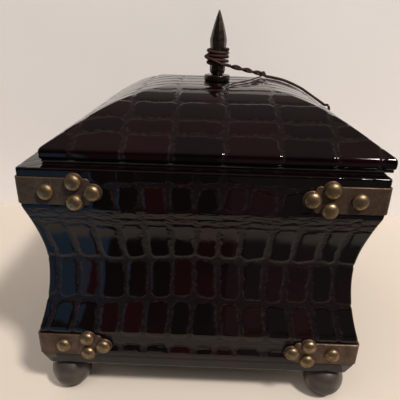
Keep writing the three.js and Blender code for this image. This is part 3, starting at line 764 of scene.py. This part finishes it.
class TRINKET_OT_body_leather(bpy.types.Operator):
    """Cover the four walls of the box with embossed leather"""

    bl_idname = "trinket.body_leather"
    bl_label = "Body leather"
    fine_step, coarse_step = 0.4, 1.1  # mesh steps over the wrinkles, and where the leather is plain

    def execute(self, context):
        look = sizes("leather")
        fine = rounded(body_outline(), 3.4, 0.1)
        along = lengths(fine)
        face = slice(np.argmax(fine[:, 0] > RIM_HALF - 0.2), fine[:, 1].argmin())
        rows, creases = (np.interp(drops, RIM - fine[face, 1], along[face]) for drops in (BODY_ROWS, WRINKLES))

        def step_at(place):
            wrinkled = (place > creases[0] - 3) & (place < creases[-1] + 3)
            plain = (place < rows[0] - 14) | (place > rows[-1] + 16)
            return np.where(wrinkled, self.fine_step, np.where(plain, self.coarse_step, look.mesh_step / MM))

        path = stepped(fine, step_at)
        side_width, whole = 2 * RIM_HALF, 8 * RIM_HALF
        rng = np.random.default_rng(11)
        perimeter = []
        for i in range(len(rows) + 1):
            lines = []
            for quarter in range(4):
                even = np.linspace(-COLUMN_REACH, COLUMN_REACH, COLUMN_COUNT) + rng.uniform(-1.8, 1.8, COLUMN_COUNT)
                if quarter == 0:
                    varied = FRONT_COLUMNS[4] + rng.uniform(-0.8, 0.8, COLUMN_COUNT)
                    even = np.array(FRONT_COLUMNS.get(i, varied))
                lines.append(even + quarter * side_width)
            lines = np.concatenate(lines)
            perimeter.append(np.concatenate([lines[-3:] - whole, lines, lines[:3] + whole]))

        def pattern(across, out, s, quarter):
            """Cells in rows that wander round the box, shallow below the rim, where fine creases cross them."""
            p = across / out * RIM_HALF + quarter * side_width
            around = p / whole * 2 * np.pi
            loose = 1 - 0.8 * np.clip((s - rows[-2]) / 24, 0, 1)
            level = s + loose * (1.2 * np.sin(around * 3 + 0.7) + 0.7 * np.sin(around * 7 + 2.1))
            depth, groove, glinting, tone = cells(p, level, rows, perimeter, 5, (1.1, 0.75 * loose), 1.3, WIDE_ROWS)
            rim = np.clip((rows[0] - 1 - level) / 2, 0, 1)
            base = np.clip((s - rows[-1] - 7) / 6, 0, 1)
            creased = np.clip(np.minimum(s - rows[1] + 3, rows[3] + 4 - s) / 2, 0, 1)
            shallow = np.clip((rows[4] - 4 - s) / 9, 0, 1) * (s > rows[3])
            clear = (1 - 0.75 * rim) * (1 - 0.8 * base) * (1 - np.maximum(0.68 * creased, 0.5 * shallow))
            depth, groove, glinting = depth * clear, groove * clear, glinting * clear
            # painted shade: the rim's top and the band's upper edge, under the lid's edge, take an even dark tone
            # without wine-red cells
            tone = 0.07 + 0.86 * tone + (0.35 - 0.86 * tone) * rim
            for n, crease in enumerate(creases):
                wave = 0.9 * np.sin(around * (17 + 6 * n) + n) + 0.8 * np.sin(around * (41 + 9 * n) + 2 * n)
                wave = wave + 0.8 * noise(p / 8.0 + 30 * n, s / 200.0, 70 + n)
                broken = np.clip(0.55 + 0.9 * noise(p / 16.0 + 9 * n, s / 200.0, 80 + n), 0, 1)
                line = np.exp(-(((s + wave - crease) / 0.55) ** 2)) * broken
                depth = depth + look.wrinkle_depth / MM * line
                groove = np.maximum(groove, 0.35 * line)
            return depth, groove, glinting, tone

        for quarter, side in enumerate(SIDES):
            gore(side, quarter, path, pattern, 1.8, "box", (0, 0, 0))
        return {"FINISHED"}


class TRINKET_OT_lid_leather(bpy.types.Operator):
    """Cover the four slopes of the lid with embossed leather"""

    bl_idname = "trinket.lid_leather"
    bl_label = "Lid leather"
    coarse_step, outermost = 1.2, 152.0  # mesh step under the lid, and a groove past its edge

    def execute(self, context):
        step = sizes("leather").mesh_step / MM
        fine = rounded(lid_outline(), 7.0, 0.1)
        start = fine[0, 0]
        along = start + lengths(fine)
        slope_end = np.argmax(fine[:, 0] > LID_HALF - 0.8)
        slope_length = along[slope_end]
        path = stepped(fine, lambda place: np.where(place > slope_length + 5, self.coarse_step, step))

        def down(plan):
            """Length along the slope from the lid's middle, for a distance in plan."""
            return np.sign(plan) * np.interp(np.abs(plan), fine[: slope_end + 1, 0], along[: slope_end + 1])

        half = down(np.array(LID_ROWS))
        rows = np.concatenate([[-self.outermost], -half[::-1] - 1.5, half, [self.outermost]])
        rng = np.random.default_rng(23)
        columns = [LID_COLUMNS + rng.uniform(-1.5, 1.5, len(LID_COLUMNS)) for _ in range(len(rows) + 1)]

        def pattern(across, out, s, quarter):
            """Cells in one grid over the whole lid, with its rows from side to side."""
            s = s + start
            sign = 1 if quarter in (1, 2) else -1
            if quarter in (0, 2):
                x, y = -sign * across, sign * s
            else:
                beyond = np.maximum(s - slope_length, 0)
                x, y = sign * (np.minimum(out, LID_HALF) + beyond), down(sign * across)
            depth, groove, glinting, tone = cells(x, y, rows, columns, 77, (1.5, 1.0), 1.35, narrow=0.75)
            return depth, 0.55 * groove, glinting, 0.62 + 0.36 * (tone - 0.5)

        for quarter, side in enumerate(SIDES):
            gore(f"{side}_lid", quarter, path, pattern, 1.4, "lid", LID_PLACE)
        return {"FINISHED"}


STRAP_HALF, STRAP_REACH, STRAP_BEND = 9.0, 38.0, 1.9
STRAP_TURNS = (29.1, STRAP_REACH, 40.6, 41.9, 45.6)  # where its outline turns, out from the corner
LOBES = ((47.0, 0.0, 5.8), (35.5, 6.7, 5.8), (42.4, 6.0, 3.0))
NAIL_PLACES = ((18.0, 0.0), (47.0, 0.0), (35.5, 6.7), (35.5, -6.7))
STRAP_LEVELS = (("upper", RIM_HALF, RIM - 14.6), ("lower", BASE_HALF, BAND_BOTTOM + BASE_BAND / 2))


def strap_half_height(w):
    """Half the strap's height at distance w from the corner: the band, or the highest lobe that reaches there."""
    w = np.abs(w)
    half = np.where(w <= STRAP_REACH, STRAP_HALF, 0.0)
    for middle, rise, radius in LOBES:
        inside = np.maximum(radius**2 - (w - middle) ** 2, 0)
        half = np.maximum(half, np.where(inside > 0, rise + np.sqrt(inside), 0))
    return half


def round_corner(w, out):
    """Place at length w round a corner at the origin, out from the faces: two straight legs and an arc."""
    quarter = STRAP_BEND * np.pi / 4
    a = np.clip(w / quarter, -1, 1) * np.pi / 4 - np.pi / 4
    beyond = np.sign(w) * np.maximum(np.abs(w) - quarter, 0)
    outwards, along = np.stack([np.sin(a), -np.cos(a)], -1), np.stack([np.cos(a), np.sin(a)], -1)
    return STRAP_BEND + outwards * (STRAP_BEND + out[..., None]) + along * beyond[..., None]


class TRINKET_OT_straps(bpy.types.Operator):
    """Fold a nailed strap round each corner, at the rim and at the base"""

    bl_idname = "trinket.straps"
    bl_label = "Corner straps"
    bevel, edge = 0.35, 0.62  # the bevel's width, and how much of the thickness stands upright below it

    def execute(self, context):
        look = sizes("metal")
        strap = metal_material("strap_brass", look.strap, 0.4, 90.0, 0.5, 0.62, pitted=0.35)
        nail = metal_material("nail_brass", look.nail, 0.34, 230.0, 0.45, 0.95)
        thick = look.strap_thickness / MM
        tip = LOBES[0][0] + LOBES[0][2]
        near, far = np.linspace(0, 29, 40), np.linspace(29, tip - 0.3, 110)
        half = np.unique(np.concatenate([near, far, tip - 0.3 * np.linspace(0, 1, 6) ** 2, [*STRAP_TURNS, tip]]))
        w = np.concatenate([-half[:0:-1], half])[:, None]
        height = np.maximum(strap_half_height(w), 0.02)
        bevel = np.minimum(height * 0.5, self.bevel)
        spread = np.linspace(-1, 1, 15)
        low, high = height * spread, (height - bevel) * spread[::-1]
        v = np.concatenate([low, height, high, -height], 1)
        edge = np.full_like(height, thick * self.edge)
        out = np.concatenate([np.zeros_like(low), edge, np.full_like(high, thick), edge], 1)
        heads, head_faces = joined(self.nails(look, thick))
        for quarter, corner in enumerate(CORNERS):
            for level, half_width, centre in STRAP_LEVELS:
                seed = 100 + quarter * 2 + (level == "lower")
                dent = 0.09 * noise(w / 9.0 + 0 * v, v / 7.0 + 40, seed)
                dent = dent + 0.05 * noise(w / 3.0 + 0 * v, v / 3.0 + 90, seed)
                raised = out + np.where(out > thick * 0.9, np.minimum(dent, 0.05), 0)
                place = round_corner(w + 0 * v, raised) - half_width
                rings = spun(np.concatenate([place, (v + centre)[..., None]], -1), quarter)
                node = f"{corner}_{level}_strap"
                put_mesh(f"{node}_plate", *capped_rings(rings), strap, "box", "strap", [node], sharp=35.0)
                points = spun(heads + (-half_width, -half_width, centre), quarter)
                put_mesh(f"{node}_nails", points, head_faces, nail, "box", "strap", sharp=50.0)
        return {"FINISHED"}

    def nails(self, look, thick):
        """Dome heads on both legs of a strap round the origin's corner: an upright lip and then a quarter ellipse up
        to the crown, turned about the shank."""
        radius, height, lip = look.nail_width / MM / 2, look.nail_height / MM, 0.45
        a = np.linspace(0, np.pi / 2, 10)[:-1]
        dome = np.stack([radius * np.cos(a), lip + (height - lip) * np.sin(a) ** 0.92], -1)
        head = turned(np.concatenate([[(radius - 0.25, -0.2), (radius, 0.1)], dome, [(0.35, height)]]), 32)
        parts = []
        for leg in (1, -1):
            for away, rise in NAIL_PLACES:
                place = np.stack([head[..., 0] + away, -thick - head[..., 2], head[..., 1] + rise], -1)
                parts.append(capped_rings(place if leg == 1 else place[:, ::-1, [1, 0, 2]]))
        return parts


class TRINKET_OT_feet(bpy.types.Operator):
    """Turn the four ball feet"""

    bl_idname = "trinket.feet"
    bl_label = "Ball feet"
    radius, flat, neck, out = 15.3, 0.5, 5.0, 100.5

    def execute(self, context):
        material = lacquer_material("foot_lacquer", sizes("metal").foot)
        centre = self.radius - self.flat
        low, high = -math.asin(centre / self.radius), math.acos(self.neck / self.radius)
        ball = arc_points((0.0, centre), self.radius, low, high, 44)
        neck = [(self.neck, 29.9), (self.neck, UNDERSIDE + 1.5)]
        rings = turned(np.concatenate([[(ball[0, 0] - 0.4, 0.0)], ball[1:], neck]), 64)
        for quarter, corner in enumerate(CORNERS):
            foot = rings + spun(np.array([-self.out, -self.out, 0]), quarter)
            put_mesh(f"{corner}_ball", *capped_rings(foot), material, "box", "foot", [f"{corner}_ball_foot"])
        return {"FINISHED"}


class TRINKET_OT_finial(bpy.types.Operator):
    """Turn the finial's collar and cut its eight-sided spike"""

    bl_idname = "trinket.finial"
    bl_label = "Finial"

    def execute(self, context):
        material = metal_material("finial_bronze", sizes("metal").finial, 0.2, 120.0, 0.5, 0.85)
        bottom, top = COLLAR_LOW.z / MM, COLLAR_HIGH.z / MM
        radius, hole, edge = 10.7, 2.3, 1.1
        lower = arc_points((radius - edge, bottom + edge), edge, -np.pi / 2, 0, 6)
        upper = arc_points((radius - edge, top - edge), edge, 0, np.pi / 2, 6)
        rings = turned(np.concatenate([[(hole, bottom)], lower, upper, [(hole, top)]]), 72) + LID_AXIS
        faces = [grid_faces(*rings.shape[:2], wrap_rows=True, wrap_columns=True)]
        put_mesh("finial_disc", rings, faces, material, "lid", "finial", ["finial_collar"])

        base = RIM + SPIKE_BOTTOM
        b = np.linspace(0, np.pi / 2, 6)
        foot = np.stack([3.9 + 2.55 * np.sin(b), 4.2 * (1 - np.cos(b))], -1)
        body = [(6.45, 12.0), (6.45, 20.6), (6.95, 26.6), (6.85, 27.6)]
        point = [(5.55, 33.2), (4.1, 38.4), (2.45, 43.8), (0.95, 48.2), (0.5, 49.1)]
        outline = np.concatenate([foot, body, point]) + (0, base)
        fine = np.concatenate([outline[:1], rounded(outline, 1.6, 0.5)[1:-1], [(0.12, base + 49.5)]])

        def octagon(angle):
            sided = math.cos(np.pi / 8) / np.cos(np.mod(angle, np.pi / 4) - np.pi / 8)
            return np.minimum(sided, 0.992)

        rings = turned(fine, 96, octagon) + LID_AXIS
        hammer = 0.05 * noise(rings[..., 0] / 2.2 + 50, rings[..., 2] / 3.1, 9)
        hammer = hammer * np.clip((base + 48 - rings[..., 2]) / 8, 0, 1)
        away = (rings - LID_AXIS) * (1, 1, 0)
        away /= np.maximum(np.linalg.norm(away, axis=-1, keepdims=True), 0.1)
        rings = rings - away * (0.05 + hammer)[..., None]
        put_mesh("finial_point", *capped_rings(rings), material, "lid", "finial", ["finial_spike"], sharp=30.0)
        return {"FINISHED"}


def covered_side(section):
    """A closed section of (out, height) carried across one side of a square frame to its mitres."""
    gap, step = 0.2, 3.0
    across = np.linspace(-1, 1, int(2 * section[:, 0].max() / step))[:, None]
    x = across * (section[:, 0] - gap)
    return np.stack([x, np.broadcast_to(-section[:, 0], x.shape), np.broadcast_to(section[:, 1], x.shape)], -1)


def soft_rectangle(inner, outer, bottom, top, round_by):
    """A rectangle with rounded corners as a closed section, with points along its sides."""
    up, across = 24, 6  # spaces between the points of its upright and level sides
    r = min(round_by, (outer - inner) * 0.45, (top - bottom) * 0.45)
    centres = ((outer - r, bottom + r), (outer - r, top - r), (inner + r, top - r), (inner + r, bottom + r))
    corners = [arc_points(c, r, (i - 1) * np.pi / 2, i * np.pi / 2, 5) for i, c in enumerate(centres)]
    pieces = []
    for corner, following, count in zip(corners, corners[1:] + corners[:1], (up, across, up, across)):
        gaps = np.linspace(0, 1, count + 1)[1:-1, None]
        pieces += [corner, corner[-1] + gaps * (following[0] - corner[-1])]
    return np.concatenate(pieces)


class TRINKET_OT_linings(bpy.types.Operator):
    """Cover the inside of the box and lid with velvet, and the lid's seat with felt"""

    bl_idname = "trinket.linings"
    bl_label = "Linings"

    def execute(self, context):
        look = sizes("lining")
        # each cloth's dark and light tones: painted shade between its fibres and painted light on their tops
        velvet = fibre_material("velvet", shaded(look.velvet, 0.45), look.velvet, 1600.0, 0.7)
        felt = fibre_material("felt", shaded(look.felt, 0.6), shaded(look.felt, 1.6), 1100.0, 0.2)
        strips = (
            ("lining", "wall_velvet", "box", velvet, "velvet", (0, 0, 0)),
            ("lid_lip", "lip_velvet", "lid", velvet, "velvet", LID_AXIS),
            ("lid_felt", "felt_strip", "lid", felt, "felt", LID_AXIS),
        )
        for node, label, body, material, slot, centre in strips:
            low, high = (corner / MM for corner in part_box(f"front_{node}"))
            far, near = -(low.y - centre[1]), -(high.y - centre[1])
            section = soft_rectangle(near, far, low.z, high.z, look.round / MM)
            for quarter, side in enumerate(SIDES):
                rings = covered_side(section)
                nap = 0.12 * noise(rings[..., 0] / 14.0 + quarter * 20, rings[..., 2] / 14.0, 31 + quarter)
                rings[..., 1] += np.minimum(nap, 0.1) * (rings[..., 1] > -(near + far) / 2)
                strip = capped_rings(spun(rings, quarter) + centre)
                put_mesh(f"{side}_{label}", *strip, material, body, slot, [f"{side}_{node}"], sharp=50.0)
        self.panel("floor_lining", "floor_velvet", "box", velvet)
        self.panel("lid_lining", "lid_velvet", "lid", velvet)
        return {"FINISHED"}

    def panel(self, node, label, body, material):
        """A flat padded square in the node's place, thinner towards its edges."""
        count = 80
        low, high = (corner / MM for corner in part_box(node))
        half, depth, middle = (high.x - low.x) / 2, (high.z - low.z) / 2, (high.z + low.z) / 2
        u = np.linspace(-1, 1, count)
        x, y = np.meshgrid(u * half, u * half)
        puff = np.clip((half - np.maximum(np.abs(x), np.abs(y))) / 1.2, 0, 1) ** 0.5
        nap = 0.1 * noise(x / 16.0 + 90, y / 16.0 + 90, 77)
        bulge = depth * (0.55 + 0.45 * puff)
        top = np.stack([x, y, middle + bulge + np.minimum(nap, 0) * puff], -1)
        under = np.stack([x, y, middle - bulge + np.maximum(nap, 0) * puff], -1)
        total = count * count
        index = np.arange(total).reshape(count, count)
        rim = np.concatenate([index[0], index[1:, -1], index[-1, -2::-1], index[-2:0:-1, 0]])
        following = np.roll(rim, -1)
        wall = np.stack([rim, rim + total, following + total, following], -1)
        faces = [grid_faces(count, count), grid_faces(count, count, total)[:, ::-1], wall]
        points = np.stack([top, under]) + ((low.x + high.x) / 2, (low.y + high.y) / 2, 0)
        put_mesh(label, points, faces, material, body, "velvet", [node], sharp=50.0)


class TRINKET_OT_hidden_pieces(bpy.types.Operator):
    """Finish the boards, screws, stud, washer and nut"""

    bl_idname = "trinket.hidden_pieces"
    bl_label = "Boards and fastenings"

    def execute(self, context):
        board = wood_material("raw_board", (0.24, 0.15, 0.08), (0.5, 0.36, 0.22))
        stained = wood_material("stained_board", (0.008, 0.007, 0.006), (0.02, 0.016, 0.014))
        steel = metal_material("zinc_steel", (0.55, 0.55, 0.54), 0.32, 300.0, 0.7, 1.0, pitted=0.15)
        for name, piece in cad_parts.items():
            if piece.hide_render:
                continue
            material = steel if any(word in name for word in ("screw", "stud", "washer", "nut")) else board
            piece.data.materials.clear()
            piece.data.materials.append(stained if name == "base_board" else material)
        return {"FINISHED"}


def level_sheet(left, right, front, back, height):
    return [(left, front, height), (right, front, height), (right, back, height), (left, back, height)]


class TRINKET_OT_stage(bpy.types.Operator):
    """Set the table, the wall, the reflected cards and the lamps"""

    bl_idname = "trinket.stage"
    bl_label = "Stage"
    low, lifted = 0.0004, 0.0008  # heights of the dark card and of the cards on it
    away, far = -1.3, -0.85  # front ends of the dark card and of the cards on it

    def execute(self, context):
        look = sizes("stage")
        front, back = -look.table_front, look.wall_back
        self.sheet("table", level_sheet(-3, 3, -3, 3, 0), look.table, 0.5)
        self.sheet("wall", [(-3, back, 0), (3, back, 0), (3, back, 0.42), (-3, back, 0.42)], look.wall, 0.9)
        lifted, far, away = self.lifted, self.far, self.away
        cards = (
            ("low_card", level_sheet(-1.2, 1.2, away, front, self.low), look.card),
            ("front_card", [(-1.2, away, 0.75), (1.2, away, 0.75), (1.2, away, 0), (-1.2, away, 0)], look.card),
            # painted shade: two cards darker than the table, seen only in reflections, stand for shade on the table at
            # the box's foot and just before it
            ("base_shade_card", level_sheet(-0.12, 0.12, -0.14, -0.108, lifted), look.base_shade_card),
            ("near_shade_card", level_sheet(-0.3, 0.3, front, -0.14, lifted), look.near_shade_card),
            ("side_card", level_sheet(0.035, 0.6, far, front, lifted), look.side_card),
            ("cool_card", [(-0.42, far, lifted), (-0.32, far, lifted), (-0.1, front, lifted), (-0.42, front, lifted)],
             look.cool_card),
        )
        for name, corners, tone in cards:
            card = self.sheet(name, corners, tone, 0.9)
            card.visible_camera = card.visible_shadow = card.visible_transmission = False
            card.visible_diffuse = name in ("low_card", "front_card")

        self.lamp("key_lamp", (1.49, -1.46, 2.74), 0.4, look.key_power, (1.0, 0.955, 0.9))
        soft = self.lamp("soft_lamp", (-0.55, -0.95, 1.7), 1.3, look.fill_power, (1.0, 0.98, 0.95))
        soft.visible_glossy = False
        context.scene.world = world = bpy.data.worlds.new("room")
        world.use_nodes = True
        sky = Nodes(world.node_tree)
        direction = sky.add("TexCoord", output="Generated")
        backwards = sky.add("VectorMath", {0: direction, 1: (0, 0.8, 0.6)}, "Value", operation="DOT_PRODUCT")
        light = sky.mixed(sky.ranged(backwards, -0.4, 0.3), (0.03, 0.028, 0.027), (0.208, 0.184, 0.168))
        sky.feed(sky.tree.nodes["Background"], {"Color": light})
        context.scene.view_settings.view_transform = "Standard"
        return {"FINISHED"}

    def sheet(self, name, corners, tone, roughness):
        """A flat sheet of the stage that shows only from the side its corners run round anticlockwise."""
        m = Finish(name)
        m.feed(m.shader, {
            "Base Color": m.mixed(m.grain(6.0, 3.0), shaded(tone, 0.96), shaded(tone, 1.03)), "Roughness": roughness,
        })
        facing, clear = m.add("NewGeometry", output="Backfacing"), m.add("BsdfTransparent")
        shown = m.add("MixShader", {0: facing, 1: m.shader.outputs[0], 2: clear})
        m.feed(m.tree.nodes["Material Output"], {"Surface": shown})
        mesh = bpy.data.meshes.new(name)
        mesh.from_pydata(corners, [], [(0, 1, 2, 3)])
        mesh.materials.append(m.material)
        made = bpy.data.objects.new(name, mesh)
        bpy.context.scene.collection.objects.link(made)
        return made

    def lamp(self, name, place, width, power, tone):
        """A square lamp that points at the middle of the box."""
        data = bpy.data.lights.new(name, "AREA")
        data.size, data.energy, data.color = width, power, tone
        made = bpy.data.objects.new(name, data)
        made.location = place
        made.rotation_mode = "QUATERNION"
        made.rotation_quaternion = (Vector((0, 0, 0.1)) - Vector(place)).to_track_quat("-Z", "Y")
        made.visible_camera = False
        bpy.context.scene.collection.objects.link(made)
        return made


OPERATORS = (
    TRINKET_OT_camera,
    TRINKET_OT_cord,
    TRINKET_OT_body_leather,
    TRINKET_OT_lid_leather,
    TRINKET_OT_straps,
    TRINKET_OT_feet,
    TRINKET_OT_finial,
    TRINKET_OT_linings,
    TRINKET_OT_hidden_pieces,
    TRINKET_OT_stage,
)


class TRINKET_PT_panel(bpy.types.Panel):
    """Steps that build the trinket box"""

    bl_idname = "TRINKET_PT_panel"
    bl_label = "Trinket Box"
    bl_space_type = "VIEW_3D"
    bl_region_type = "UI"
    bl_category = "Trinket Box"

    def draw(self, context):
        for operator in OPERATORS:
            self.layout.operator(operator.bl_idname)
        for group, kind in GROUPS.items():
            box = self.layout.box()
            box.label(text=kind.__doc__)
            for name in kind.__annotations__:
                box.prop(getattr(context.scene, f"trinket_{group}"), name)


def register():
    for group, kind in GROUPS.items():
        bpy.utils.register_class(kind)
        setattr(bpy.types.Scene, f"trinket_{group}", PointerProperty(type=kind))
    for kind in (*OPERATORS, TRINKET_PT_panel):
        bpy.utils.register_class(kind)


def unregister():
    for kind in (TRINKET_PT_panel, *reversed(OPERATORS)):
        bpy.utils.unregister_class(kind)
    for group, kind in GROUPS.items():
        delattr(bpy.types.Scene, f"trinket_{group}")
        bpy.utils.unregister_class(kind)


def main():
    register()
    for operator in OPERATORS:
        group, name = operator.bl_idname.split(".")
        getattr(getattr(bpy.ops, group), name)()
    bpy.context.view_layer.update()


if __name__ == "__main__":
    main()
